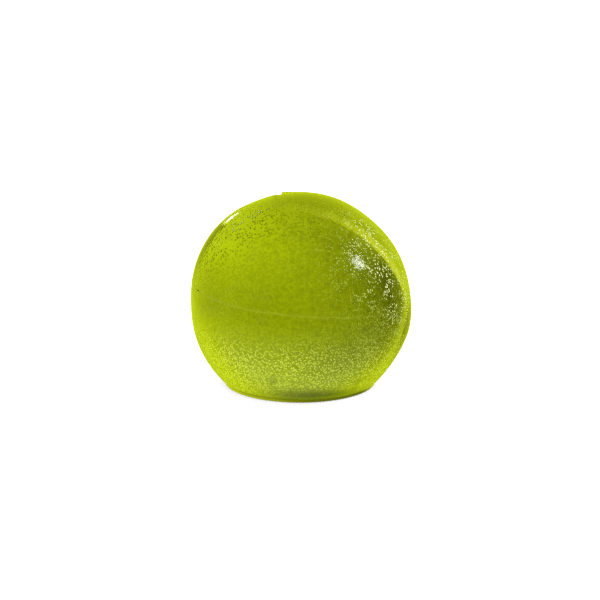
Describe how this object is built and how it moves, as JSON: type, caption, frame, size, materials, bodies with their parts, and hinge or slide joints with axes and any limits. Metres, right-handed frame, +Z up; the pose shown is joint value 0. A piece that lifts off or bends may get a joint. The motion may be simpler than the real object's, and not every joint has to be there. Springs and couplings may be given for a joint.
{
  "type": "juggling ball",
  "caption": "Soft translucent juggling ball, a liquid-filled silicone skin of two bonded half shells with a push-in fill plug, sagged flat where it rests.",
  "frame": {"origin": "middle of the flat foot on which the ball rests, on the surface under it", "axes": "+Z up from the table through the middle of the ball, -Y towards the viewer, +X to the viewer's right; the plug is up, to the left and at the back of the top"},
  "size_m": [0.0701, 0.07, 0.0613],
  "materials": {
    "shell_silicone": "gloss",
    "plug_silicone": "satin",
    "clear_liquid": "gloss"
  },
  "bodies": {
    "ball": {"upper_half_shell": "shell_silicone", "lower_half_shell": "shell_silicone", "liquid_fill": "clear_liquid"},
    "plug": {"fill_plug": "plug_silicone"}
  },
  "joints": [
    {"name": "plug_pull", "type": "slide", "parent": "ball", "child": "plug", "axis": [-0.21, 0.25, 0.9452], "range_m": [0, 0.012]}
  ]
}
